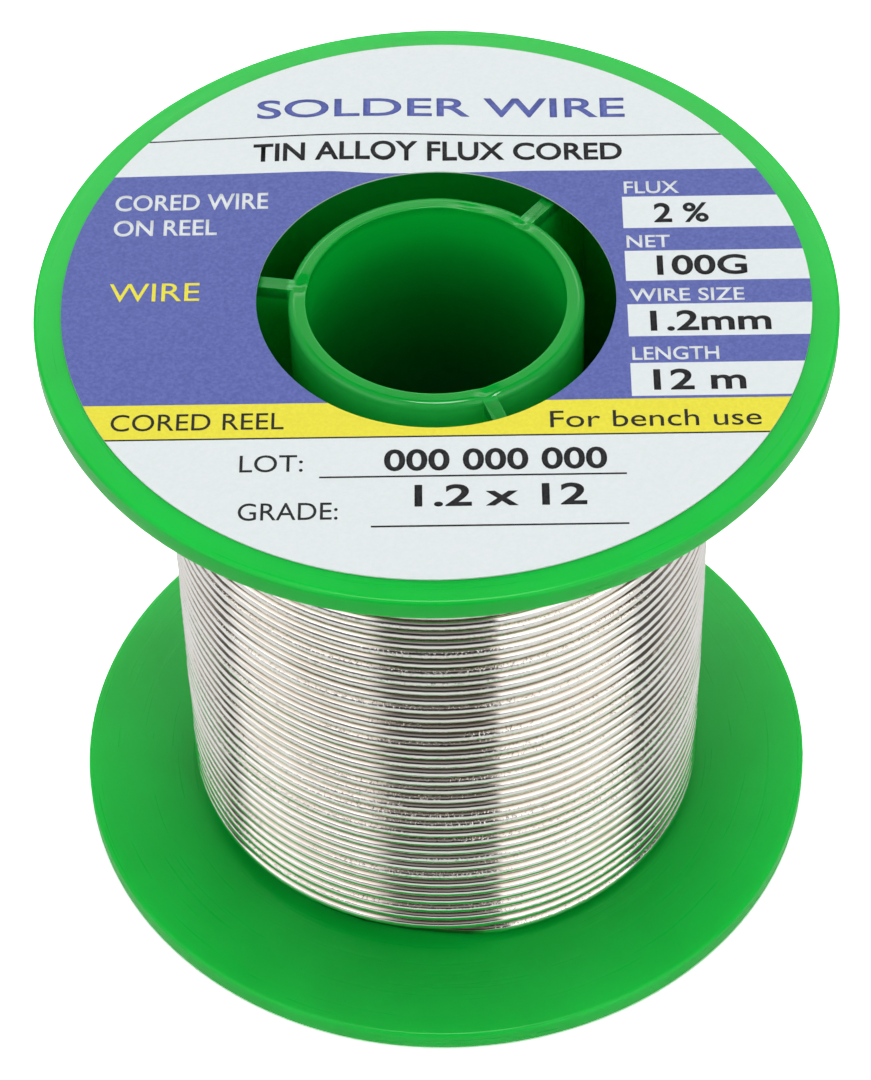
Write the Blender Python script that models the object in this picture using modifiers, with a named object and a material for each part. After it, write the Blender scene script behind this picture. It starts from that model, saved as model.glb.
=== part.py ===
"""Solder wire spool: a moulded plastic reel in two glued halves, wound with two layers of solder wire.

Metres, +Z up. The reel's axis is Z and its lower flange stands on z = 0. Each half of the reel is one
moulding, laid out here as its flange, its half of the barrel, its half of the hub tube and its ribs.
"""
import math

import bpy
from mathutils import Vector

# Reel
REEL_HEIGHT = 0.060
FLANGE_RADIUS = 0.033
FLANGE_THICKNESS = 0.0020
FLANGE_EDGE_RADIUS = 0.0005
BARREL_OUTER_RADIUS = 0.0206
BARREL_WALL = 0.0015
HUB_BORE_RADIUS = 0.0107
HUB_WALL = 0.00125
HUB_EDGE_RADIUS = 0.0002
HUB_BELOW_FLANGE = 0.0001
RIB_COUNT = 3
RIB_FIRST_ANGLE = math.radians(50)
RIB_THICKNESS = 0.0012
RIB_BELOW_HUB = 0.0002
SPIGOT_LENGTH = 0.0040
SPIGOT_WALL = 0.0006

# Winding
WIRE_DIAMETER = 0.0012
WINDING_RADIUS = 0.02315
FREE_END_START_ANGLE = math.radians(60)
FREE_END_SWEEP = math.radians(62)
FREE_END_DROP = 0.0075
FREE_END_POINTS = 13

# Label
LABEL_OUTER_RADIUS = 0.0307
LABEL_INNER_RADIUS = 0.01475
LABEL_THICKNESS = 0.00012
GLUE_THICKNESS = 0.00005

# Gaps
FIT_GAP = 0.0003
LAYER_GAP = 0.0002

# Smoothness
FLANGE_STEPS = 80
TUBE_STEPS = 64
LABEL_STEPS = 80
ARC_SEGMENTS = 3

# Worked out
JOINT_HEIGHT = REEL_HEIGHT / 2
BARREL_INNER_RADIUS = BARREL_OUTER_RADIUS - BARREL_WALL
HUB_OUTER_RADIUS = HUB_BORE_RADIUS + HUB_WALL
FLANGE_BORE_RADIUS = BARREL_OUTER_RADIUS + FIT_GAP
LAYER_BOUNDARY_RADIUS = (FLANGE_BORE_RADIUS + WINDING_RADIUS) / 2


def clear_scene():
    for old in list(bpy.context.scene.objects):
        bpy.data.objects.remove(old, do_unlink=True)


def new_material(name, color, roughness, metallic=0.0):
    material = bpy.data.materials.new(name)
    material.use_nodes = True
    shader = material.node_tree.nodes["Principled BSDF"]
    shader.inputs["Base Color"].default_value = (*color, 1.0)
    shader.inputs["Roughness"].default_value = roughness
    shader.inputs["Metallic"].default_value = metallic
    return material


def arc(center_x, center_z, radius, start, end):
    """Points of a round corner, from one angle to the other in degrees, in the XZ plane."""
    points = []
    for step in range(ARC_SEGMENTS + 1):
        angle = math.radians(start + (end - start) * step / ARC_SEGMENTS)
        points.append((center_x + radius * math.cos(angle), center_z + radius * math.sin(angle)))
    return points


def turned(name, outline, steps, material, collection):
    """A closed outline of (radius, height) points, turned a full circle about Z.

    The outline goes down its outer side and up its inner side.
    """
    mesh = bpy.data.meshes.new(name)
    count = len(outline)
    edges = [(i, (i + 1) % count) for i in range(count)]
    mesh.from_pydata([(radius, 0.0, height) for radius, height in outline], edges, [])
    piece = bpy.data.objects.new(name, mesh)
    collection.objects.link(piece)
    screw = piece.modifiers.new("turn", "SCREW")
    screw.axis = "Z"
    screw.angle = 2 * math.pi
    screw.steps = steps
    screw.render_steps = steps
    screw.use_merge_vertices = True
    screw.merge_threshold = 0.00001
    screw.use_smooth_shade = True
    mesh.materials.append(material)
    return piece


def box_piece(name, size, center, angle, material, collection):
    """A plate turned by an angle about Z, around the reel's axis."""
    bpy.ops.mesh.primitive_cube_add(size=1.0)
    piece = bpy.context.object
    piece.name = name
    piece.data.name = name
    for vertex in piece.data.vertices:
        vertex.co = Vector(a * b for a, b in zip(vertex.co, size)) + Vector(center)
    piece.rotation_euler.z = angle
    for owner in list(piece.users_collection):
        owner.objects.unlink(piece)
    collection.objects.link(piece)
    piece.data.materials.append(material)
    return piece


def make_flange(name, bottom, material, collection):
    """A flat disc with soft rims, open at its middle for the barrel's end."""
    top = bottom + FLANGE_THICKNESS
    rim = FLANGE_RADIUS - FLANGE_EDGE_RADIUS
    outline = [(FLANGE_BORE_RADIUS, top)]
    outline += arc(rim, top - FLANGE_EDGE_RADIUS, FLANGE_EDGE_RADIUS, 90, 0)
    outline += arc(rim, bottom + FLANGE_EDGE_RADIUS, FLANGE_EDGE_RADIUS, 0, -90)
    outline += [(FLANGE_BORE_RADIUS, bottom)]
    turned(name, outline, FLANGE_STEPS, material, collection)


def make_barrel_halves(material, collection):
    """The tube under the wire: the lower half's spigot stands in the upper half's socket."""
    inner = BARREL_INNER_RADIUS
    outer = BARREL_OUTER_RADIUS
    spigot_outer = inner + SPIGOT_WALL
    socket_inner = spigot_outer + FIT_GAP
    spigot_top = JOINT_HEIGHT + SPIGOT_LENGTH
    socket_top = spigot_top + FIT_GAP
    lower_end = JOINT_HEIGHT - FIT_GAP
    lower = [
        (inner, spigot_top),
        (spigot_outer, spigot_top),
        (spigot_outer, lower_end),
        (outer, lower_end),
        (outer, 0.0),
        (inner, 0.0),
    ]
    upper = [
        (inner, REEL_HEIGHT),
        (outer, REEL_HEIGHT),
        (outer, JOINT_HEIGHT),
        (socket_inner, JOINT_HEIGHT),
        (socket_inner, socket_top),
        (inner, socket_top),
    ]
    turned("lower_barrel_half", lower, TUBE_STEPS, material, collection)
    turned("upper_barrel_half", upper, TUBE_STEPS, material, collection)


def make_hub_half(name, bottom, top, open_end_is_top, material, collection):
    """Half of the tube that a spool holder's arbor goes through. Its outer end has soft rims."""
    outer = HUB_OUTER_RADIUS
    inner = HUB_BORE_RADIUS
    edge = HUB_EDGE_RADIUS
    if open_end_is_top:
        outline = arc(outer - edge, top - edge, edge, 90, 0)
        outline += [(outer, bottom), (inner, bottom)]
        outline += arc(inner + edge, top - edge, edge, 180, 90)
    else:
        outline = [(inner, top), (outer, top)]
        outline += arc(outer - edge, bottom + edge, edge, 0, -90)
        outline += arc(inner + edge, bottom + edge, edge, 270, 180)
    turned(name, outline, TUBE_STEPS, material, collection)


def make_ribs(prefix, bottom, top, material, collection):
    """Flat ribs that join the hub tube to the barrel."""
    start = HUB_OUTER_RADIUS + FIT_GAP
    end = BARREL_INNER_RADIUS - FIT_GAP
    size = (end - start, RIB_THICKNESS, top - bottom)
    center = ((start + end) / 2, 0.0, (bottom + top) / 2)
    for index in range(RIB_COUNT):
        angle = RIB_FIRST_ANGLE + 2 * math.pi * index / RIB_COUNT
        box_piece(f"{prefix}_rib_{index + 1}", size, center, angle, material, collection)


def make_reel(material, collection):
    hub_end = HUB_BELOW_FLANGE
    rib_end = HUB_BELOW_FLANGE + RIB_BELOW_HUB
    make_flange("lower_flange", 0.0, material, collection)
    make_flange("upper_flange", REEL_HEIGHT - FLANGE_THICKNESS, material, collection)
    make_barrel_halves(material, collection)
    lower_hub_top = JOINT_HEIGHT - FIT_GAP
    make_hub_half("lower_hub_tube", hub_end, lower_hub_top, False, material, collection)
    make_hub_half("upper_hub_tube", JOINT_HEIGHT, REEL_HEIGHT - hub_end, True, material, collection)
    make_ribs("lower", rib_end, lower_hub_top, material, collection)
    upper_rib_bottom = JOINT_HEIGHT + SPIGOT_LENGTH + FIT_GAP
    make_ribs("upper", upper_rib_bottom, REEL_HEIGHT - rib_end, material, collection)


def make_winding(material, collection):
    """The outer shapes of the wire's two layers, between the flanges."""
    bottom = FLANGE_THICKNESS + FIT_GAP
    top = REEL_HEIGHT - FLANGE_THICKNESS - FIT_GAP
    layers = (
        ("wire_inner_layer", FLANGE_BORE_RADIUS, LAYER_BOUNDARY_RADIUS - LAYER_GAP / 2),
        ("wire_outer_layer", LAYER_BOUNDARY_RADIUS + LAYER_GAP / 2, WINDING_RADIUS),
    )
    for name, inner, outer in layers:
        outline = [(inner, top), (outer, top), (outer, bottom), (inner, bottom)]
        turned(name, outline, TUBE_STEPS, material, collection)


def free_end_point(share):
    """A point on the wire's free end, which crosses the last turns on its way down."""
    angle = FREE_END_START_ANGLE + FREE_END_SWEEP * share
    radius = WINDING_RADIUS + FIT_GAP + WIRE_DIAMETER / 2
    first_height = REEL_HEIGHT - FLANGE_THICKNESS - FIT_GAP - WIRE_DIAMETER
    height = first_height - FREE_END_DROP * share * share * (3 - 2 * share)
    return (radius * math.cos(angle), radius * math.sin(angle), height)


def make_free_end(material, collection):
    curve = bpy.data.curves.new("wire_free_end", "CURVE")
    curve.dimensions = "3D"
    curve.bevel_depth = WIRE_DIAMETER / 2
    curve.bevel_resolution = 2
    curve.use_fill_caps = True
    spline = curve.splines.new("POLY")
    spline.points.add(FREE_END_POINTS - 1)
    for index, point in enumerate(spline.points):
        point.co = (*free_end_point(index / (FREE_END_POINTS - 1)), 1.0)
    curve.materials.append(material)
    piece = bpy.data.objects.new("wire_free_end", curve)
    collection.objects.link(piece)


def make_label(material, collection):
    """A paper ring glued to the upper flange. Its inner edge stands over the gap round the hub."""
    bottom = REEL_HEIGHT + GLUE_THICKNESS
    top = bottom + LABEL_THICKNESS
    outline = [
        (LABEL_INNER_RADIUS, top),
        (LABEL_OUTER_RADIUS, top),
        (LABEL_OUTER_RADIUS, bottom),
        (LABEL_INNER_RADIUS, bottom),
    ]
    turned("flange_label", outline, LABEL_STEPS, material, collection)


def main():
    clear_scene()
    collection = bpy.data.collections.new("solder_wire_spool")
    bpy.context.scene.collection.children.link(collection)
    green_plastic = new_material("green_plastic", (0.012, 0.42, 0.075), 0.35)
    solder = new_material("solder", (0.72, 0.73, 0.74), 0.28, 1.0)
    paper = new_material("label_paper", (0.78, 0.81, 0.88), 0.55)
    make_reel(green_plastic, collection)
    make_winding(solder, collection)
    make_free_end(solder, collection)
    make_label(paper, collection)


main()
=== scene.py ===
"""Solder wire spool: the wound wire, the moulded reel and its printed label, in a light studio.

Lengths are in metres. The reel's axis is Z and the spool stands on z = 0.
"""
import math
import random

import bmesh
import bpy
from mathutils import Matrix, Vector


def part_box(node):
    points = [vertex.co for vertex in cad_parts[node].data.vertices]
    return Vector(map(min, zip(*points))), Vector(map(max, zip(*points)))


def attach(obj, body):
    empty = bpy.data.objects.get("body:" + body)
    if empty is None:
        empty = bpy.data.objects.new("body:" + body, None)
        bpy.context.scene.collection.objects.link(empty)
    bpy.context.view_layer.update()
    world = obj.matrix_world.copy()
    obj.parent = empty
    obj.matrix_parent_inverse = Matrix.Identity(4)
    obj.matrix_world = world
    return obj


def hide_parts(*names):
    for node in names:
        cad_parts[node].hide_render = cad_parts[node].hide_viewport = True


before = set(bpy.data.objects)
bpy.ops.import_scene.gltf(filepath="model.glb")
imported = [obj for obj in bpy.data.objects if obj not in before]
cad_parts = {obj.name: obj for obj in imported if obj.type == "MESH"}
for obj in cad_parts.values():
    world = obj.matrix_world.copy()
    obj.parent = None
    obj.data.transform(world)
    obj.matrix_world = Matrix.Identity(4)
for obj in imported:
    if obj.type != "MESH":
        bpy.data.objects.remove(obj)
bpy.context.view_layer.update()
random.seed(12)

MM = 0.001

# Sizes read from the CAD nodes
FLANGE_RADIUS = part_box("lower_flange")[1][0]
FLANGE_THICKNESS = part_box("lower_flange")[1][2]
REEL_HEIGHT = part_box("upper_flange")[1][2]
BARREL_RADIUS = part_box("lower_barrel_half")[1][0]
HUB_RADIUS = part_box("lower_hub_tube")[1][0]
HUB_BELOW_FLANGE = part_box("lower_hub_tube")[0][2]
RIB_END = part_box("lower_rib_1")[0][2]
WINDING_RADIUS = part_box("wire_outer_layer")[1][0]
LABEL_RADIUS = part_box("flange_label")[1][0]
LABEL_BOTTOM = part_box("flange_label")[0][2]
LABEL_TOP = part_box("flange_label")[1][2]

# Sizes that a node's box can't give
BARREL_WALL = 1.5 * MM
HUB_WALL = 1.25 * MM
HUB_SWELL = 0.2 * MM
RIB_THICKNESS = 1.2 * MM
RIB_FIRST_ANGLE = math.radians(50)
RIB_COUNT = 3
LABEL_HOLE_RADIUS = 14.75 * MM
JOINT_HEIGHT = REEL_HEIGHT / 2
JOINT_GAP = 0.04 * MM
RIM_ROUND = 0.35 * MM
SINK_DEPTH = 0.22 * MM
SINK_WIDTH = 0.7 * MM
SINK_LENGTH = 0.7 * MM
LONG_SINK_LENGTH = 1.3 * MM
LONG_SINK_PAST_RIB = math.radians(24)
TURN_STEPS = 192

# Painted shade in the grooves between turns: how dark the wire is, as the distance from the axis goes from
# the first to the second
GROOVE_REACH = (21.0 * MM, 25.0 * MM)
GROOVE_PAINTED_SHADE = [(0.43, (0.30, 0.25, 0.21)), (0.485, (0.74, 0.67, 0.59)), (0.508, (1.0, 1.0, 1.0))]

# Painted shade on the thin hub tube, darker at its rim and deep in the bore, from its open ends to the
# middle of the reel
HUB_PAINTED_SHADE = [(0.004, 0.62), (0.03, 1.0), (0.1, 0.98), (0.2, 0.7), (0.36, 0.48), (0.6, 0.36), (1.0, 0.3)]
# Painted glow just below the rim of the hub tube's outer wall, and painted shade at its lip and further
# down, by the same depth
OUTER_WALL_PAINTED_GLOW_AND_SHADE = [
    (0.005, (0.02, 0.38, 0.06)), (0.03, (0.03, 0.70, 0.11)), (0.1, (0.025, 0.92, 0.14)),
    (0.3, (0.006, 0.56, 0.07)), (1.0, (0.001, 0.3, 0.03)),
]
# Painted shade: how dark the rib tops are painted
RIB_TOP_PAINTED_SHADE = 0.5

# The hub's outside and the barrel's inside, as shares of the distance from the axis that the tones use
TONE_REACH = 20.0 * MM
TONE_MARGIN = 0.004
HUB_EDGE = (HUB_RADIUS + HUB_SWELL) / TONE_REACH + TONE_MARGIN
BARREL_EDGE = (BARREL_RADIUS - BARREL_WALL) / TONE_REACH - TONE_MARGIN

# Wire
WIRE_DIAMETER = 1.2 * MM
WIRE_PITCH = 1.204 * MM
INNER_LAYER_RADIUS = 21.5 * MM
OUTER_LAYER_RADIUS = WINDING_RADIUS - WIRE_DIAMETER / 2 - 0.01 * MM
INNER_TURNS = 46
OUTER_TURNS = 45
INNER_POINTS = 36
OUTER_POINTS = 90
FRONT_ANGLE = -math.pi / 2
CROSSOVER_CENTER = 0.5
CROSSOVER_WIDTH = 0.15
CROSSOVER_LIFT = 0.17 * MM
CLIMB_START = -0.02
CLIMB_END = 0.035
FREE_END_SWEEP = math.radians(62)
FREE_END_DROP = 7.5 * MM
FREE_END_START = 0.5 - 30 / 360
HEIGHT_JITTER = 0.025 * MM
RADIUS_JITTER = 0.02 * MM


# ---------------------------------------------------------------- camera

CAMERA_PLACE = Vector((0.0, -0.23472, 0.29568))
CAMERA_PITCH = math.radians(48.542)
CAMERA_YAW = math.radians(-0.126)
CAMERA_ROLL = math.radians(-1.341)
CAMERA_LENS = 135.17


def make_camera():
    """The photograph's view: steep, from the front, through a long lens."""
    data = bpy.data.cameras.new("camera")
    data.sensor_width = 36.0
    data.lens = CAMERA_LENS
    data.clip_start = 0.01
    data.clip_end = 20.0
    camera = bpy.data.objects.new("camera", data)
    bpy.context.collection.objects.link(camera)
    forward = Vector((
        math.sin(CAMERA_YAW) * math.cos(CAMERA_PITCH),
        math.cos(CAMERA_YAW) * math.cos(CAMERA_PITCH),
        -math.sin(CAMERA_PITCH),
    ))
    right = forward.cross(Vector((0, 0, 1))).normalized()
    up = right.cross(forward)
    rolled_right = right * math.cos(CAMERA_ROLL) + up * math.sin(CAMERA_ROLL)
    rolled_up = up * math.cos(CAMERA_ROLL) - right * math.sin(CAMERA_ROLL)
    turn = Matrix((rolled_right, rolled_up, -forward)).transposed()
    camera.matrix_world = Matrix.Translation(CAMERA_PLACE) @ turn.to_4x4()
    bpy.context.scene.camera = camera


# ---------------------------------------------------------------- helpers


def smooth_step(value):
    value = min(max(value, 0.0), 1.0)
    return value * value * (3 - 2 * value)


def new_piece(name, mesh, material):
    piece = bpy.data.objects.new(name, mesh)
    bpy.context.collection.objects.link(piece)
    if material is not None:
        mesh.materials.append(material)
    return piece


def shade(mesh, sharp_degrees):
    mesh.shade_smooth()
    mesh.set_sharp_from_angle(angle=math.radians(sharp_degrees))


def rounded_outline(corners, segments=5):
    """Points of a closed outline of (radius, height, rounding) corners, with an arc at each."""
    points = []
    count = len(corners)
    for index, (x, z, rounding) in enumerate(corners):
        here = Vector((x, z))
        before = Vector(corners[index - 1][:2]) - here
        after = Vector(corners[(index + 1) % count][:2]) - here
        if rounding == 0:
            points.append(here)
            continue
        half = before.angle(after) / 2
        reach = rounding / math.tan(half)
        center = here + (before.normalized() + after.normalized()).normalized() * rounding / math.sin(half)
        start = here + before.normalized() * reach - center
        sweep = start.angle_signed(here + after.normalized() * reach - center)
        for step in range(segments + 1):
            points.append(center + Matrix.Rotation(-sweep * step / segments, 2) @ start)
    return points


def turned_mesh(name, outline, steps=TURN_STEPS):
    """A closed outline turned a full circle about Z."""
    bm = bmesh.new()
    rings = []
    for step in range(steps):
        angle = 2 * math.pi * step / steps
        across = Vector((math.cos(angle), math.sin(angle), 0))
        rings.append([bm.verts.new(across * point[0] + Vector((0, 0, point[1]))) for point in outline])
    for step, ring in enumerate(rings):
        following = rings[(step + 1) % steps]
        for index in range(len(outline)):
            after = (index + 1) % len(outline)
            bm.faces.new((ring[index], following[index], following[after], ring[after]))
    bmesh.ops.recalc_face_normals(bm, faces=bm.faces)
    mesh = bpy.data.meshes.new(name)
    bm.to_mesh(mesh)
    bm.free()
    return mesh


def box_mesh(name, size, center, angle):
    bm = bmesh.new()
    place = Matrix.Rotation(angle, 4, "Z") @ Matrix.Translation(center) @ Matrix.Diagonal((*size, 1))
    bmesh.ops.create_cube(bm, size=1.0, matrix=place)
    mesh = bpy.data.meshes.new(name)
    bm.to_mesh(mesh)
    bm.free()
    return mesh


def evaluated_mesh(piece):
    graph = bpy.context.evaluated_depsgraph_get()
    return bpy.data.meshes.new_from_object(piece.evaluated_get(graph))


def united(name, meshes):
    """One closed mesh from several that overlap."""
    base = new_piece(name + "_base", meshes[0], None)
    others = [new_piece(f"{name}_part_{index}", mesh, None) for index, mesh in enumerate(meshes[1:])]
    for other in others:
        union = base.modifiers.new("join", "BOOLEAN")
        union.operation = "UNION"
        union.solver = "EXACT"
        union.object = other
    mesh = evaluated_mesh(base)
    mesh.name = name
    for scrap in [base, *others]:
        bpy.data.objects.remove(scrap, do_unlink=True)
    return mesh


# ---------------------------------------------------------------- materials


class NodeTree:
    """Short ways to add nodes to a shader tree."""

    def __init__(self, tree):
        self.nodes = tree.nodes
        self.links = tree.links

    def set_or_link(self, socket, value):
        """Sets a socket to a number or colour, or links it to another node's output."""
        if isinstance(value, bpy.types.NodeSocket):
            self.links.new(value, socket)
        else:
            socket.default_value = value

    def math(self, operation, first, second=None):
        node = self.nodes.new("ShaderNodeMath")
        node.operation = operation
        for socket, value in zip(node.inputs, (first, second)):
            if value is not None:
                self.set_or_link(socket, value)
        return node.outputs["Value"]

    def ramp(self, source, stops):
        """Colours or greys by position along a source from 0 to 1."""
        node = self.nodes.new("ShaderNodeValToRGB")
        elements = node.color_ramp.elements
        while len(elements) < len(stops):
            elements.new(0.5)
        for element, (position, color) in zip(elements, stops):
            element.position = position
            element.color = (*color, 1.0) if hasattr(color, "__len__") else (color, color, color, 1.0)
        self.links.new(source, node.inputs["Fac"])
        return node.outputs["Color"]

    def mix(self, factor, first, second, blend_type="MIX"):
        """Two colours mixed by a factor: the first at 0, the second at 1."""
        node = self.nodes.new("ShaderNodeMix")
        node.data_type = "RGBA"
        node.blend_type = blend_type
        self.set_or_link(node.inputs["Factor"], factor)
        colors = [socket for socket in node.inputs if socket.type == "RGBA"]
        self.set_or_link(colors[0], first)
        self.set_or_link(colors[1], second)
        return [socket for socket in node.outputs if socket.type == "RGBA"][0]


class Surface(NodeTree):
    """A Principled material on a piece."""

    def __init__(self, name, roughness, metallic=0.0):
        self.material = bpy.data.materials.new(name)
        self.material.use_nodes = True
        super().__init__(self.material.node_tree)
        self.shader = self.nodes["Principled BSDF"]
        self.shader.inputs["Roughness"].default_value = roughness
        self.shader.inputs["Metallic"].default_value = metallic
        self.place = self.nodes.new("ShaderNodeTexCoord").outputs["Object"]

    def noise(self, scale, detail=3.0, stretch=None, source=None):
        node = self.nodes.new("ShaderNodeTexNoise")
        node.inputs["Scale"].default_value = scale
        node.inputs["Detail"].default_value = detail
        vector = source or self.place
        if stretch:
            mapping = self.nodes.new("ShaderNodeMapping")
            mapping.inputs["Scale"].default_value = stretch
            self.links.new(vector, mapping.inputs["Vector"])
            vector = mapping.outputs["Vector"]
        self.links.new(vector, node.inputs["Vector"])
        return node.outputs["Fac"]

    def from_axis(self):
        """The distance from the reel's axis, with the x, y and z that it comes from."""
        split = self.nodes.new("ShaderNodeSeparateXYZ")
        self.links.new(self.place, split.inputs["Vector"])
        x, y, z = split.outputs
        squares = self.math("ADD", self.math("MULTIPLY", x, x), self.math("MULTIPLY", y, y))
        return self.math("SQRT", squares), x, y, z

    def radius(self, low, high):
        """0 to 1 as the distance from the reel's axis goes from low to high."""
        radius = self.from_axis()[0]
        return self.math("MULTIPLY", self.math("SUBTRACT", radius, low), 1 / (high - low))

    def depth_from_ends(self):
        """0 to 1 from the hub tube's open ends to the middle of the reel."""
        z = self.from_axis()[3]
        from_middle = self.math("ABSOLUTE", self.math("SUBTRACT", z, JOINT_HEIGHT))
        depth = self.math("SUBTRACT", JOINT_HEIGHT - HUB_BELOW_FLANGE, from_middle)
        return self.math("MULTIPLY", depth, 1 / (JOINT_HEIGHT - HUB_BELOW_FLANGE))

    def polar(self):
        """Coordinates that run out from the reel's axis, round it and up it."""
        radius, x, y, z = self.from_axis()
        angle = self.math("ARCTAN2", y, x)
        join = self.nodes.new("ShaderNodeCombineXYZ")
        for socket, value in zip(join.inputs, (radius, angle, z)):
            self.links.new(value, socket)
        return join.outputs["Vector"]

    def bump(self, height, distance, strength=1.0):
        """Adds a layer of fine relief over those already there."""
        node = self.nodes.new("ShaderNodeBump")
        node.inputs["Strength"].default_value = strength
        node.inputs["Distance"].default_value = distance
        self.links.new(height, node.inputs["Height"])
        normal = self.shader.inputs["Normal"]
        if normal.is_linked:
            self.links.new(normal.links[0].from_socket, node.inputs["Normal"])
        self.links.new(node.outputs["Normal"], normal)

    def color(self, source):
        self.links.new(source, self.shader.inputs["Base Color"])

    def roughness(self, source):
        self.links.new(source, self.shader.inputs["Roughness"])


def green_plastic():
    """Semi-gloss moulded plastic: slightly cloudy, with rub marks that run round the reel, and painted
    shade and glow on the hub tube and rib tops.
    """
    surface = Surface("green_plastic", 0.2)
    clouds = surface.noise(90.0, 4.0)
    body = surface.ramp(clouds, [(0.3, (0.001, 0.53, 0.047)), (0.7, (0.002, 0.60, 0.058))])
    # Painted shade: the hub tube's rim and its deep bore are darkened
    bore_and_rim_painted_shade = surface.ramp(surface.depth_from_ends(), HUB_PAINTED_SHADE)
    radius = surface.radius(0.0, TONE_REACH)
    outside_hub = surface.ramp(radius, [(HUB_EDGE, 0.0), (HUB_EDGE + 0.01, 1.0)])
    is_outer_wall = surface.ramp(radius, [(HUB_EDGE - 0.03, 0.0), (HUB_EDGE - 0.015, 1.0)])
    # Painted shade: the ribs are darkened near the hub tube's open ends, where their tops are
    not_rib = surface.ramp(radius, [
        (HUB_EDGE, 1.0), (HUB_EDGE + 0.01, RIB_TOP_PAINTED_SHADE), (BARREL_EDGE - 0.01, RIB_TOP_PAINTED_SHADE), (BARREL_EDGE, 1.0),
    ])
    # Painted glow and painted shade on the hub tube's outer wall, by depth
    wall = surface.ramp(surface.depth_from_ends(), OUTER_WALL_PAINTED_GLOW_AND_SHADE)
    rim_and_bore = surface.mix(1.0, body, bore_and_rim_painted_shade, "MULTIPLY")
    hub = surface.mix(is_outer_wall, rim_and_bore, wall)
    below_rib_end = surface.ramp(surface.depth_from_ends(), [(0.03, 0.0), (0.05, 1.0)])
    tone = surface.math("MAXIMUM", not_rib, below_rib_end)
    surface.color(surface.mix(1.0, surface.mix(outside_hub, hub, body), tone, "MULTIPLY"))
    rubs = surface.noise(1.0, 3.0, stretch=(2600.0, 1.6, 400.0), source=surface.polar())
    satin = surface.ramp(rubs, [(0.35, 0.27), (0.75, 0.38)])
    gloss = surface.ramp(radius, [(HUB_EDGE, 0.35), (HUB_EDGE + 0.01, 1.0)])
    surface.roughness(surface.math("MULTIPLY", satin, gloss))
    surface.bump(surface.noise(120.0, 2.0), 0.00003, 0.4)
    surface.bump(surface.noise(2400.0, 3.0), 0.000004, 0.4)
    shader = surface.shader
    shader.inputs["IOR"].default_value = 1.49
    shader.inputs["Specular IOR Level"].default_value = 0.32
    shader.inputs["Subsurface Weight"].default_value = 0.5
    shader.inputs["Subsurface Radius"].default_value = (0.2, 1.0, 0.35)
    shader.inputs["Subsurface Scale"].default_value = 0.002
    return surface.material


def solder():
    """Bright drawn solder: painted shade in the grooves between turns, and short scuffs on some turns only.
    """
    surface = Surface("solder", 0.1, 1.0)
    tarnish = surface.noise(260.0, 3.0)
    metal = surface.ramp(tarnish, [(0.3, (0.89, 0.85, 0.80)), (0.65, (0.95, 0.93, 0.90))])
    # Painted shade: the wire is darker deep in the grooves, towards the axis
    grooves = surface.ramp(surface.radius(*GROOVE_REACH), GROOVE_PAINTED_SHADE)
    surface.color(surface.mix(1.0, metal, grooves, "MULTIPLY"))
    surface.roughness(surface.ramp(surface.noise(900.0, 2.0), [(0.3, 0.07), (0.7, 0.13)]))
    scuffed = surface.ramp(surface.noise(1.0, 1.0, stretch=(45.0, 45.0, 900.0)), [(0.52, 0.0), (0.6, 1.0)])
    pits = surface.ramp(surface.noise(4600.0, 1.0), [(0.55, 0.0), (0.7, 1.0)])
    surface.bump(surface.noise(450.0, 2.0), 0.00002, 0.25)
    surface.bump(surface.math("MULTIPLY", pits, scuffed), 0.000025, 0.6)
    return surface.material


def paper():
    """Coated white label paper."""
    surface = Surface("label_paper", 0.5)
    grain = surface.noise(3200.0, 4.0)
    surface.color(surface.ramp(grain, [(0.3, (0.755, 0.815, 0.82)), (0.7, (0.80, 0.85, 0.86))]))
    surface.bump(grain, 0.000008, 0.4)
    surface.bump(surface.noise(140.0, 2.0), 0.00004, 0.4)
    return surface.material


def ink(name, dark, light, shine=0.5):
    """Printed ink that lets a little of the paper's grain through."""
    surface = Surface(name, 0.45)
    surface.shader.inputs["Specular IOR Level"].default_value = shine
    grain = surface.noise(3600.0, 5.0)
    surface.color(surface.ramp(grain, [(0.32, dark), (0.68, light)]))
    surface.bump(grain, 0.000006, 0.35)
    return surface.material


# ---------------------------------------------------------------- wire


def crossover(share):
    """How far a turn has stepped to the next groove, at a share of the turn from the front."""
    start = CROSSOVER_CENTER - CROSSOVER_WIDTH / 2
    return smooth_step((share - start) / CROSSOVER_WIDTH)


def crossover_lift(share):
    """How far the outer layer is lifted where it crosses the inner layer's turns."""
    start = CROSSOVER_CENTER - CROSSOVER_WIDTH / 2
    edge = CROSSOVER_WIDTH * 0.35
    rise = smooth_step((share - start + edge / 2) / edge)
    fall = smooth_step((share - start - CROSSOVER_WIDTH + edge / 2) / edge)
    return CROSSOVER_LIFT * (rise - fall)


def wire_point(turns, radius, height):
    angle = FRONT_ANGLE + 2 * math.pi * turns
    return Vector((radius * math.cos(angle), radius * math.sin(angle), height))


def jitter(amounts, turns):
    """A small offset that changes slowly along the wire."""
    index = int(turns)
    blend = smooth_step(turns - index)
    return amounts[index] * (1 - blend) + amounts[index + 1] * blend


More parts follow.
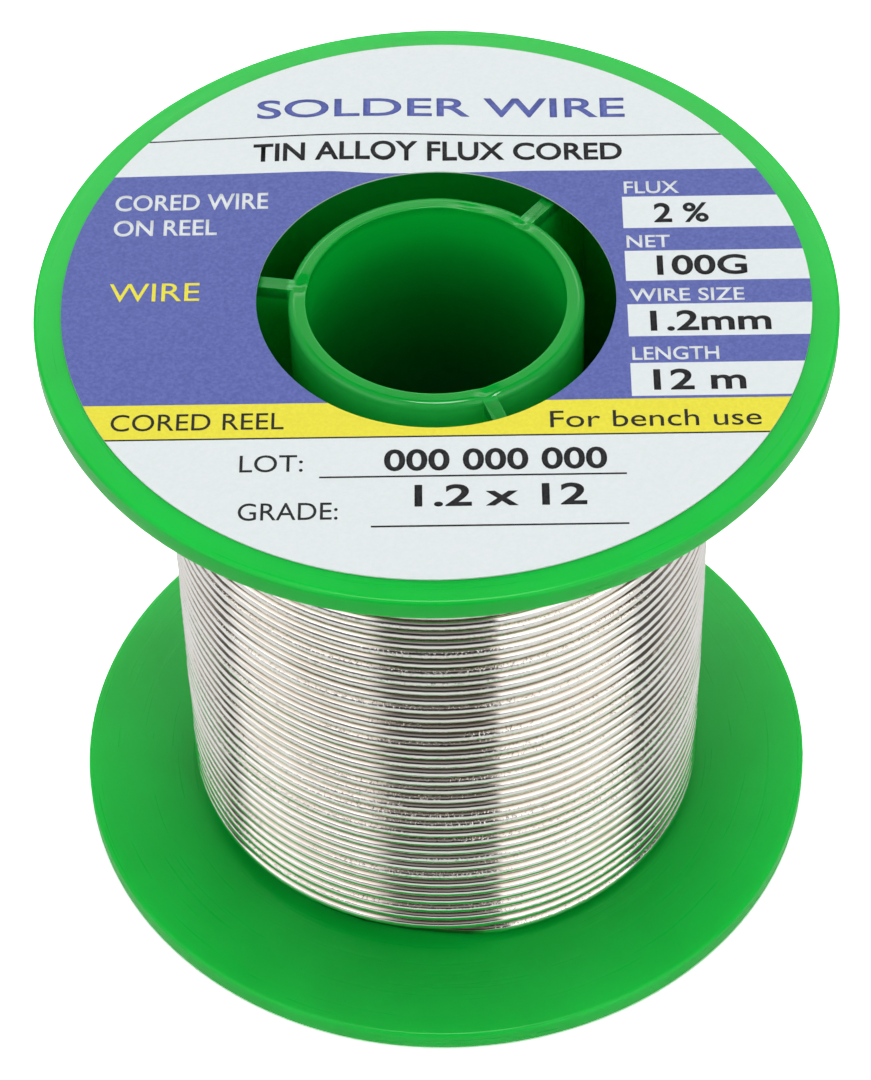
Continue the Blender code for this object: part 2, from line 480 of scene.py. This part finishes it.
def wire_route():
    """The wire's centreline: down in the inner layer, up in the outer one, then over the last turns."""
    lowest_inner = FLANGE_THICKNESS + WIRE_DIAMETER / 2
    lowest_outer = lowest_inner + WIRE_PITCH / 2
    offsets = [random.uniform(-1, 1) * HEIGHT_JITTER for _ in range(OUTER_TURNS + 3)]
    lifts = [random.uniform(-1, 1) * RADIUS_JITTER for _ in range(OUTER_TURNS + 3)]
    points = []
    for step in range(INNER_TURNS * INNER_POINTS):
        turns = step / INNER_POINTS
        whole = int(turns)
        level = min(whole + crossover(turns - whole), INNER_TURNS - 1)
        if turns > INNER_TURNS + CLIMB_START:
            break
        height = lowest_inner + (INNER_TURNS - 1 - level) * WIRE_PITCH
        points.append(wire_point(turns, INNER_LAYER_RADIUS, height))
    first = round(CLIMB_START * OUTER_POINTS)
    last = round((OUTER_TURNS - 1 + FREE_END_START) * OUTER_POINTS)
    for step in range(first, last + 1):
        turns = step / OUTER_POINTS
        climb = smooth_step((turns - CLIMB_START) / (CLIMB_END - CLIMB_START))
        whole = max(int(turns), 0)
        share = max(turns - whole, 0.0)
        height = lowest_outer + (whole + crossover(share)) * WIRE_PITCH
        height += jitter(offsets, max(turns, 0)) * climb
        radius = OUTER_LAYER_RADIUS + crossover_lift(share) + jitter(lifts, max(turns, 0))
        height = lowest_inner * (1 - climb) + height * climb
        radius = INNER_LAYER_RADIUS * (1 - climb) + radius * climb
        points.append(wire_point(turns, radius, height))
    end_turns = last / OUTER_POINTS
    end_radius = OUTER_LAYER_RADIUS
    end_height = points[-1].z
    free_steps = round(FREE_END_SWEEP / (2 * math.pi) * OUTER_POINTS)
    for step in range(1, free_steps + 1):
        share = step / free_steps
        turns = end_turns + step / OUTER_POINTS
        radius = end_radius + (WIRE_DIAMETER + CROSSOVER_LIFT) * smooth_step(share * 3)
        height = end_height - FREE_END_DROP * smooth_step(share)
        points.append(wire_point(turns, radius, height))
    return points


def make_wire(material):
    points = wire_route()
    curve = bpy.data.curves.new("solder_wire", "CURVE")
    curve.dimensions = "3D"
    curve.bevel_depth = WIRE_DIAMETER / 2
    curve.bevel_resolution = 4
    curve.use_fill_caps = True
    spline = curve.splines.new("POLY")
    spline.points.add(len(points) - 1)
    for place, point in zip(spline.points, points):
        place.co = (*point, 1.0)
    curve.materials.append(material)
    wire = bpy.data.objects.new("solder_wire", curve)
    bpy.context.collection.objects.link(wire)
    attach(wire, "root")
    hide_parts("wire_inner_layer", "wire_outer_layer", "wire_free_end")
    return points


# ---------------------------------------------------------------- reel


def hub_mesh(joint, turn_way):
    """The hub tube, with a small sink mark in its rim over each rib and one between two of them."""
    inner = HUB_RADIUS - HUB_WALL
    outer = HUB_RADIUS + HUB_SWELL
    corners = [(inner, HUB_BELOW_FLANGE, 0.12 * MM)]
    for share in (0.15, 0.25, 0.35, 0.45, 0.55):
        corners.append((inner + (outer - inner) * share, HUB_BELOW_FLANGE, 0))
    corners += [(outer, HUB_BELOW_FLANGE, 0.6 * MM), (outer, joint, 0.05 * MM), (inner, joint, 0.1 * MM)]
    mesh = turned_mesh("hub", rounded_outline(corners, 6), 2 * TURN_STEPS)
    marks = [(RIB_FIRST_ANGLE + 2 * math.pi * index / RIB_COUNT, SINK_LENGTH) for index in range(RIB_COUNT)]
    marks.append((RIB_FIRST_ANGLE + LONG_SINK_PAST_RIB, LONG_SINK_LENGTH))
    middle = HUB_RADIUS - HUB_WALL / 2
    for vertex in mesh.vertices:
        if vertex.co.z > HUB_BELOW_FLANGE + 0.5 * MM:
            continue
        angle = math.atan2(vertex.co.y, vertex.co.x)
        radius = math.hypot(vertex.co.x, vertex.co.y)
        for place, length in marks:
            turn = math.remainder(angle * turn_way - place, 2 * math.pi)
            distance = (turn * middle / length) ** 2 + ((radius - middle) / SINK_WIDTH) ** 2
            vertex.co.z += SINK_DEPTH * math.exp(-distance)
    return mesh


def reel_half(name, upper, material):
    """One moulding: a flange, half of the barrel, half of the hub tube and three ribs."""
    barrel_inner = BARREL_RADIUS - BARREL_WALL
    joint = JOINT_HEIGHT - JOINT_GAP / 2
    shell = rounded_outline([
        (barrel_inner, 0.0, 0.15 * MM),
        (FLANGE_RADIUS, 0.0, RIM_ROUND),
        (FLANGE_RADIUS, FLANGE_THICKNESS, RIM_ROUND),
        (BARREL_RADIUS, FLANGE_THICKNESS, 0.25 * MM),
        (BARREL_RADIUS, joint, 0.1 * MM),
        (barrel_inner, joint, 0.1 * MM),
    ])
    hub_inner = HUB_RADIUS - HUB_WALL
    meshes = [turned_mesh("shell", shell), hub_mesh(joint, -1 if upper else 1)]
    embed = 0.3 * MM
    start = HUB_RADIUS - embed
    end = barrel_inner + embed
    size = (end - start, RIB_THICKNESS, joint - RIB_END)
    center = Vector(((start + end) / 2, 0.0, (joint + RIB_END) / 2))
    for index in range(RIB_COUNT):
        angle = RIB_FIRST_ANGLE + 2 * math.pi * index / RIB_COUNT
        if upper:
            angle = -angle
        meshes.append(box_mesh("rib", size, center, angle))
    mesh = united(name, meshes)
    if upper:
        turn_over = Matrix.Translation((0, 0, REEL_HEIGHT)) @ Matrix.Rotation(math.pi, 4, "X")
        mesh.transform(turn_over)
    shade(mesh, 32)
    piece = new_piece(name, mesh, material)
    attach(piece, "root")
    side = "upper" if upper else "lower"
    nodes = [f"{side}_flange", f"{side}_barrel_half", f"{side}_hub_tube"]
    nodes += [f"{side}_rib_{index + 1}" for index in range(RIB_COUNT)]
    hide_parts(*nodes)


# ---------------------------------------------------------------- label

LABEL_TURN = math.radians(-0.6)
BLUE_TOP = 14.6 * MM
BLUE_BOTTOM = -11.9 * MM
YELLOW_BOTTOM = -15.6 * MM
LINE_WIDTH = 0.17 * MM
TITLE_LINE = 18.85 * MM
BOX_LEFT = 15.6 * MM
BOXES = ((11.35 * MM, 7.6 * MM), (4.9 * MM, 1.4 * MM), (-1.3 * MM, -4.95 * MM), (-7.95 * MM, -11.6 * MM))
RULES = ((-9.3 * MM, 14.9 * MM, -19.95 * MM), (-5.2 * MM, 14.9 * MM, -25.2 * MM))
BOW_HEIGHT = 0.7 * MM
BOW_CENTER = (-7 * MM, 19 * MM)
BOW_SPREAD = (12 * MM, 6 * MM)
BOW_EDGE = 2.5 * MM
LABEL_STEPS = 240
LABEL_ROWS = 14
INK_LIFT = 0.006 * MM
INK_THICKNESS = 0.01 * MM


def print_place(x, y):
    """Where a point of the flat artwork lies on the label, whose upper lines bow a little."""
    radius = math.hypot(x, y)
    inside = smooth_step((radius - LABEL_HOLE_RADIUS) / BOW_EDGE)
    inside *= smooth_step((LABEL_RADIUS - radius) / BOW_EDGE)
    across = (x - BOW_CENTER[0]) / BOW_SPREAD[0]
    up = (y - BOW_CENTER[1]) / BOW_SPREAD[1]
    bow = BOW_HEIGHT * math.exp(-(up ** 2) - across ** 2)
    y += bow * inside
    return (
        x * math.cos(LABEL_TURN) - y * math.sin(LABEL_TURN),
        x * math.sin(LABEL_TURN) + y * math.cos(LABEL_TURN),
    )


def label_zone(x, y):
    """Which ink a point of the label carries: 0 paper, 1 blue, 2 yellow, 3 black."""
    if abs(y - TITLE_LINE) < LINE_WIDTH / 2 or YELLOW_BOTTOM - LINE_WIDTH < y < YELLOW_BOTTOM:
        return 3
    if YELLOW_BOTTOM < y < BLUE_BOTTOM:
        return 2
    if BLUE_BOTTOM < y < BLUE_TOP:
        in_box = x > BOX_LEFT and any(low < y < high for high, low in BOXES)
        return 0 if in_box else 1
    return 0


def make_label(materials):
    """The label's ring, cut along its print's edges so that each zone has its own ink."""
    bm = bmesh.new()
    width = LABEL_RADIUS - LABEL_HOLE_RADIUS
    radii = [LABEL_HOLE_RADIUS + width * row / LABEL_ROWS for row in range(LABEL_ROWS + 1)]
    rings = []
    for radius in radii:
        ring = []
        for step in range(LABEL_STEPS):
            angle = 2 * math.pi * step / LABEL_STEPS
            ring.append(bm.verts.new((radius * math.cos(angle), radius * math.sin(angle), 0)))
        rings.append(ring)
    for inner, outer in zip(rings, rings[1:]):
        for step in range(LABEL_STEPS):
            after = (step + 1) % LABEL_STEPS
            bm.faces.new((inner[step], outer[step], outer[after], inner[after]))
    levels = [BLUE_TOP, BLUE_BOTTOM, YELLOW_BOTTOM, YELLOW_BOTTOM - LINE_WIDTH]
    levels += [TITLE_LINE - LINE_WIDTH / 2, TITLE_LINE + LINE_WIDTH / 2]
    levels += [edge for box in BOXES for edge in box]
    for level in levels:
        everything = list(bm.verts) + list(bm.edges) + list(bm.faces)
        bmesh.ops.bisect_plane(bm, geom=everything, dist=1e-7, plane_co=(0, level, 0), plane_no=(0, 1, 0))
    everything = list(bm.verts) + list(bm.edges) + list(bm.faces)
    bmesh.ops.bisect_plane(bm, geom=everything, dist=1e-7, plane_co=(BOX_LEFT, 0, 0), plane_no=(1, 0, 0))
    bmesh.ops.remove_doubles(bm, verts=bm.verts, dist=1e-6)
    for face in bm.faces:
        center = face.calc_center_median()
        face.material_index = label_zone(center.x, center.y)
    for vertex in bm.verts:
        vertex.co.x, vertex.co.y = print_place(vertex.co.x, vertex.co.y)
        vertex.co.z = LABEL_TOP
    top_faces = list(bm.faces)
    made = bmesh.ops.extrude_face_region(bm, geom=top_faces)["geom"]
    for item in made:
        if isinstance(item, bmesh.types.BMVert):
            item.co.z = LABEL_BOTTOM
    bmesh.ops.recalc_face_normals(bm, faces=bm.faces)
    for face in bm.faces:
        low = min(vertex.co.z for vertex in face.verts)
        if low < LABEL_TOP - 1e-6:
            face.material_index = 0
    mesh = bpy.data.meshes.new("printed_label")
    bm.to_mesh(mesh)
    bm.free()
    piece = new_piece("printed_label", mesh, None)
    for material in materials:
        mesh.materials.append(material)
    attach(piece, "root")
    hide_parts("flange_label")


def text_mesh(body, height, left, baseline, weight, width=None):
    """Plain lettering of a cap height, from its left end, narrowed or widened to a width."""
    curve = bpy.data.curves.new("text", "FONT")
    curve.body = body
    curve.size = 1.0
    curve.offset = weight
    curve.resolution_u = 5
    probe = bpy.data.objects.new("text", curve)
    bpy.context.collection.objects.link(probe)
    mesh = evaluated_mesh(probe)
    bpy.data.objects.remove(probe, do_unlink=True)
    xs = [vertex.co.x for vertex in mesh.vertices]
    cap_height = 0.73
    scale_y = height / cap_height
    scale_x = width / (max(xs) - min(xs)) if width else scale_y
    for vertex in mesh.vertices:
        vertex.co.x = left + (vertex.co.x - min(xs)) * scale_x
        vertex.co.y = baseline + vertex.co.y * scale_y
    return mesh


def rule_mesh(left, right, level):
    bm = bmesh.new()
    pieces = 24
    rows = []
    for side in (-0.5, 0.5):
        row = []
        for index in range(pieces + 1):
            x = left + (right - left) * index / pieces
            row.append(bm.verts.new((x, level + side * LINE_WIDTH, 0)))
        rows.append(row)
    for index in range(pieces):
        bm.faces.new((rows[0][index], rows[0][index + 1], rows[1][index + 1], rows[1][index]))
    mesh = bpy.data.meshes.new("rule")
    bm.to_mesh(mesh)
    bm.free()
    return mesh


def print_piece(name, meshes, material):
    """Joins flat shapes into one thin layer of ink on the label."""
    bm = bmesh.new()
    for mesh in meshes:
        bm.from_mesh(mesh)
    bmesh.ops.remove_doubles(bm, verts=bm.verts, dist=1e-7)
    for vertex in bm.verts:
        vertex.co.x, vertex.co.y = print_place(vertex.co.x, vertex.co.y)
        vertex.co.z = LABEL_TOP + INK_LIFT
    made = bmesh.ops.extrude_face_region(bm, geom=list(bm.faces))["geom"]
    for item in made:
        if isinstance(item, bmesh.types.BMVert):
            item.co.z += INK_THICKNESS
    bmesh.ops.recalc_face_normals(bm, faces=bm.faces)
    mesh = bpy.data.meshes.new(name)
    bm.to_mesh(mesh)
    bm.free()
    piece = new_piece(name, mesh, material)
    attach(piece, "root")


def make_print(blue, white, yellow, black):
    print_piece("print_title", [
        text_mesh("SOLDER WIRE", 2.5 * MM, -15.2 * MM, 21.2 * MM, 0.012, 31.4 * MM),
    ], blue)
    print_piece("print_black", [
        text_mesh("TIN ALLOY FLUX CORED", 2.1 * MM, -15.4 * MM, 15.95 * MM, 0.02, 31.2 * MM),
        text_mesh("2 %", 2.3 * MM, 18.2 * MM, 8.3 * MM, 0.02),
        text_mesh("100G", 2.3 * MM, 18.2 * MM, 2.1 * MM, 0.02, 7.4 * MM),
        text_mesh("1.2mm", 2.3 * MM, 17.4 * MM, -4.3 * MM, 0.02, 9.8 * MM),
        text_mesh("12 m", 2.3 * MM, 17.4 * MM, -10.9 * MM, 0.02, 7.4 * MM),
        text_mesh("LOT:", 1.9 * MM, -15.6 * MM, -19.3 * MM, 0.0, 5.0 * MM),
        text_mesh("GRADE:", 1.9 * MM, -15.6 * MM, -24.4 * MM, 0.0, 7.8 * MM),
        text_mesh("000 000 000", 2.3 * MM, -4.2 * MM, -19.3 * MM, 0.02, 17.6 * MM),
        text_mesh("1.2 x 12", 2.3 * MM, -1.8 * MM, -23.1 * MM, 0.02, 13.5 * MM),
        text_mesh("CORED REEL", 1.9 * MM, -26.0 * MM, -14.7 * MM, 0.0, 13.8 * MM),
        text_mesh("For bench use", 1.9 * MM, 9.0 * MM, -14.9 * MM, 0.0, 16.8 * MM),
        *[rule_mesh(*rule) for rule in RULES],
    ], black)
    print_piece("print_white", [
        text_mesh("CORED WIRE", 1.9 * MM, -26.8 * MM, 10.5 * MM, 0.014, 12.8 * MM),
        text_mesh("ON REEL", 1.9 * MM, -26.8 * MM, 7.5 * MM, 0.014, 8.6 * MM),
        text_mesh("FLUX", 1.5 * MM, 15.8 * MM, 11.75 * MM, 0.012, 4.6 * MM),
        text_mesh("NET", 1.5 * MM, 15.8 * MM, 5.3 * MM, 0.012, 3.6 * MM),
        text_mesh("WIRE SIZE", 1.5 * MM, 15.8 * MM, -0.95 * MM, 0.012, 9.4 * MM),
        text_mesh("LENGTH", 1.5 * MM, 15.8 * MM, -7.6 * MM, 0.012, 7.0 * MM),
    ], white)
    print_piece("print_yellow", [
        text_mesh("WIRE", 2.2 * MM, -26.8 * MM, -0.2 * MM, 0.0, 7.4 * MM),
    ], yellow)


# ---------------------------------------------------------------- studio

# The light tent's brightness round the horizon, by azimuth from the camera's side towards +X
TENT_SIDES = (
    (-180, 0.4), (-96, 0.4), (-92, 0.1), (-86, 0.1), (-82, 1.3), (-34, 1.4), (-26, 1.25),
    (-21, 0.2), (-17, 0.03), (17, 0.03), (20, 1.45), (72, 1.45), (75, 0.1), (87, 0.1), (94, 0.4),
    (180, 0.4),
)
PANEL_RISE = ((0, 1.0), (46, 1.0), (55, 0.6), (63, 0.12), (90, 0.04))
TENT_FRONT = ((0, 0.01), (17, 0.02), (25, 0.33), (44, 0.32), (52, 0.08), (90, 0.04))
TENT_BACK = (
    (0, 0.4), (29, 0.5), (34, 3.4), (39, 3.0), (41.5, 2.3), (43.5, 1.5), (45, 1.1), (47, 0.95),
    (48.8, 0.8), (49.6, 0.03), (90, 0.03),
)
OVERHEAD = ((0, 0.0), (79.5, 0.0), (82.5, 1.0), (90, 1.0))
OVERHEAD_LIGHT = (16.8, 16.8, 16.8, 1)
GAP_LIGHT = (0.02, 0.02, 0.02, 1)
REAR_LIGHT = (0.35, 0.35, 0.35, 1)
# Where each of these counts: 1 inside it, 0 outside
IS_FRONT = ((-180, 0), (-30, 0), (-20, 1), (17, 1), (20, 0), (180, 0))
IS_REAR = ((-180, 1), (-125, 1), (-95, 0), (95, 0), (125, 1), (180, 1))
IS_BACK = ((-180, 1), (-155, 1), (-140, 0), (140, 0), (155, 1), (180, 1))
LEFT_GAP = ((-180, 0), (-62, 0), (-42, 1), (-20, 1), (-16, 0), (180, 0))
GAP_RISE = ((0, 1.0), (5, 1.0), (9, 0.0), (90, 0.0))
FLOOR_SIZE = 6.0
FLOOR_GAP = 0.05 * MM
FLOOR_NEAR = (0.8, 0.8, 0.8)
FLOOR_SEEN = (2.2, 2.2, 2.2)
# By distance from the reel in metres: 0 is the near floor's colour, 1 the far floor's, by azimuth
FLOOR_REACH = ((0.0, 0.0), (0.1, 0.0), (0.18, 1.0), (1.0, 1.0))
# Painted shade on the far floor, seen only in reflections: dark on the camera's side, light at the sides
FLOOR_SIDES = ((-180, 0.8), (-75, 0.8), (-50, 0.03), (18, 0.03), (30, 0.8), (180, 0.8))


class Tent(NodeTree):
    """Ramps by direction, for the world behind everything."""

    def __init__(self, tree, direction):
        super().__init__(tree)
        split = self.nodes.new("ShaderNodeSeparateXYZ")
        self.links.new(direction, split.inputs["Vector"])
        x, y, z = split.outputs
        azimuth = self.math("ARCTAN2", x, self.math("MULTIPLY", y, -1.0))
        self.azimuth = self.math("ADD", self.math("MULTIPLY", azimuth, 0.5 / math.pi), 0.5)
        self.elevation = self.math("MULTIPLY", self.math("ARCSINE", z), 2.0 / math.pi)

    def round_horizon(self, stops):
        """Greys by azimuth in degrees, from -180 to 180."""
        return self.ramp(self.azimuth, [((angle + 180) / 360, value) for angle, value in stops])

    def by_height(self, stops):
        """Greys by elevation in degrees, from 0 to 90."""
        return self.ramp(self.elevation, [(angle / 90, value) for angle, value in stops])


def make_floor():
    material = bpy.data.materials.new("floor")
    material.use_nodes = True
    nodes = material.node_tree.nodes
    links = material.node_tree.links
    shader = nodes["Principled BSDF"]
    shader.inputs["Roughness"].default_value = 0.7
    coordinates = nodes.new("ShaderNodeTexCoord")
    tent = Tent(material.node_tree, coordinates.outputs["Object"])
    # Painted shade: the far floor, seen only in reflections, is dark on the camera's side
    far = tent.round_horizon(FLOOR_SIDES)
    length = nodes.new("ShaderNodeVectorMath")
    length.operation = "LENGTH"
    links.new(coordinates.outputs["Object"], length.inputs[0])
    is_far = tent.ramp(length.outputs["Value"], FLOOR_REACH)
    links.new(tent.mix(is_far, (*FLOOR_NEAR, 1), far), shader.inputs["Base Color"])
    bright = nodes.new("ShaderNodeBsdfDiffuse")
    bright.inputs["Color"].default_value = (*FLOOR_SEEN, 1)
    path = nodes.new("ShaderNodeLightPath")
    choose = nodes.new("ShaderNodeMixShader")
    links.new(path.outputs["Is Camera Ray"], choose.inputs["Fac"])
    links.new(shader.outputs["BSDF"], choose.inputs[1])
    links.new(bright.outputs["BSDF"], choose.inputs[2])
    links.new(choose.outputs["Shader"], nodes["Material Output"].inputs["Surface"])
    bpy.ops.mesh.primitive_plane_add(size=FLOOR_SIZE, location=(0, 0, -FLOOR_GAP))
    floor = bpy.context.object
    floor.name = "floor"
    floor.data.materials.append(material)


def make_world():
    world = bpy.data.worlds.new("studio")
    bpy.context.scene.world = world
    world.use_nodes = True
    tree = world.node_tree
    background = tree.nodes["Background"]
    coordinates = tree.nodes.new("ShaderNodeTexCoord")
    tent = Tent(tree, coordinates.outputs["Generated"])
    sides = tent.math(
        "MULTIPLY",
        tent.round_horizon(TENT_SIDES),
        tent.by_height(PANEL_RISE),
    )
    gap = tent.math(
        "MULTIPLY",
        tent.round_horizon(LEFT_GAP),
        tent.by_height(GAP_RISE),
    )
    light = tent.mix(tent.round_horizon(IS_FRONT), sides, tent.by_height(TENT_FRONT))
    light = tent.mix(gap, light, GAP_LIGHT)
    light = tent.mix(tent.round_horizon(IS_REAR), light, REAR_LIGHT)
    light = tent.mix(tent.round_horizon(IS_BACK), light, tent.by_height(TENT_BACK))
    light = tent.mix(tent.by_height(OVERHEAD), light, OVERHEAD_LIGHT)
    tree.links.new(light, background.inputs["Color"])
    background.inputs["Strength"].default_value = 1.0


def main():
    bpy.context.scene.view_settings.view_transform = "Standard"
    make_camera()
    make_wire(solder())
    green = green_plastic()
    reel_half("upper_reel_half", True, green)
    reel_half("lower_reel_half", False, green)
    blue = ink("blue_ink", (0.068, 0.092, 0.37), (0.108, 0.142, 0.46))
    yellow = ink("yellow_ink", (0.82, 0.735, 0.019), (0.88, 0.80, 0.031))
    black = ink("black_ink", (0.012, 0.012, 0.014), (0.03, 0.03, 0.032), 0.15)
    white = ink("white_ink", (0.75, 0.80, 0.82), (0.82, 0.86, 0.88))
    make_label([paper(), blue, yellow, black])
    make_print(blue, white, yellow, black)
    make_floor()
    make_world()


main()
